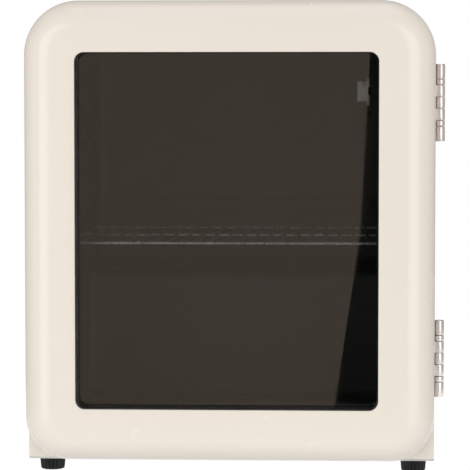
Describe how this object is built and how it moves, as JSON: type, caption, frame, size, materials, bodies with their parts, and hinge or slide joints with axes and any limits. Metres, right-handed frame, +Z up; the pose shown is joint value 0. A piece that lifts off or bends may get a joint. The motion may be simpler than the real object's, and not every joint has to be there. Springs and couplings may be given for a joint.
{
  "type": "mini fridge",
  "caption": "Retro glass-door mini fridge with a rolled cream door frame, side butt hinges, wire shelf, rear condenser and compressor.",
  "frame": {"origin": "on the floor under the middle of the whole object's box", "axes": "+Z up, the door faces -Y, and the hinges are on the +X side"},
  "size_m": [0.4478, 0.48, 0.51],
  "materials": {
    "enamel": "glossy cream enamel",
    "dark_liner": "satin dark grey moulding",
    "black_moulding": "satin black",
    "white_moulding": "satin white",
    "foam": "rigid foam",
    "zinc_sheet": "galvanised sheet",
    "chrome": "bright plated",
    "steel": "plain steel",
    "aluminium": "mill finish",
    "copper": "bare copper",
    "black_paint": "satin black paint",
    "rubber": "matt",
    "magnet": "magnet-filled strip",
    "glass": "clear",
    "lens": "frosted"
  },
  "bodies": {
    "cabinet": {"back_panel": "zinc_sheet", "base_pan": "zinc_sheet", "bay_panel": "zinc_sheet", "cabinet_wrap": "enamel", "capillary_tube": "copper", "compressor_base": "black_paint", "compressor_mount_1": "rubber", "compressor_mount_2": "rubber", "compressor_mount_3": "rubber", "compressor_mount_4": "rubber", "compressor_shell": "black_paint", "condenser_tube": "black_paint", "condenser_wires": "black_paint", "control_housing": "dark_liner", "cord_gland": "black_moulding", "discharge_line": "copper", "drain_tube": "white_moulding", "drip_channel": "dark_liner", "evaporation_tray": "white_moulding", "evaporator_plate": "aluminium", "filter_drier": "copper", "foot_nut_left": "steel", "foot_nut_right": "steel", "foot_plate": "black_moulding", "front_frame": "enamel", "inner_liner": "dark_liner", "insulation_foam": "foam", "lamp_board": "white_moulding", "lamp_lens": "lens", "lower_hinge_cabinet_leaf": "chrome", "lower_hinge_pin": "steel", "lower_hinge_ring_bottom": "chrome", "lower_hinge_ring_top": "chrome", "rear_foot_left": "black_moulding", "rear_foot_right": "black_moulding", "relay_cover": "black_moulding", "suction_line": "copper", "thermostat_body": "steel", "upper_hinge_cabinet_leaf": "chrome", "upper_hinge_pin": "steel", "upper_hinge_ring_bottom": "chrome", "upper_hinge_ring_top": "chrome", "wall_spacer_left": "black_moulding", "wall_spacer_right": "black_moulding"},
    "door": {"door_skin": "enamel", "door_foam": "foam", "door_liner": "black_moulding", "door_gasket": "rubber", "magnet_strip": "magnet", "outer_glass": "glass", "inner_glass": "glass", "glazing_seal": "rubber", "glass_spacer": "aluminium", "upper_hinge_door_leaf": "chrome", "lower_hinge_door_leaf": "chrome"},
    "shelf": {"wire_shelf": "steel"},
    "knob": {"thermostat_knob": "white_moulding"},
    "rocker": {"light_switch": "black_moulding"},
    "foot_left": {"front_foot_left": "black_moulding"},
    "foot_right": {"front_foot_right": "black_moulding"}
  },
  "joints": [
    {"name": "door_hinge", "type": "hinge", "parent": "cabinet", "child": "door", "pos_m": [0.21863, -0.188, 0.265], "axis": [0, 0, 1], "range_deg": [0, 120]},
    {"name": "shelf_slide", "type": "slide", "parent": "cabinet", "child": "shelf", "axis": [0, -1, 0], "range_m": [0, 0.015]},
    {"name": "thermostat_turn", "type": "hinge", "parent": "cabinet", "child": "knob", "pos_m": [0.14713, 0.065, 0.415], "axis": [-1, 0, 0], "range_deg": [0, 270]},
    {"name": "light_switch_tip", "type": "hinge", "parent": "cabinet", "child": "rocker", "pos_m": [0.14913, 0.018, 0.415], "axis": [0, 0, 1], "range_deg": [0, 14]},
    {"name": "front_foot_left_turn", "type": "hinge", "parent": "cabinet", "child": "foot_left", "pos_m": [-0.20287, -0.142, 0], "axis": [0, 0, 1], "continuous": true},
    {"name": "front_foot_right_turn", "type": "hinge", "parent": "cabinet", "child": "foot_right", "pos_m": [0.19312, -0.142, 0], "axis": [0, 0, 1], "continuous": true}
  ]
}
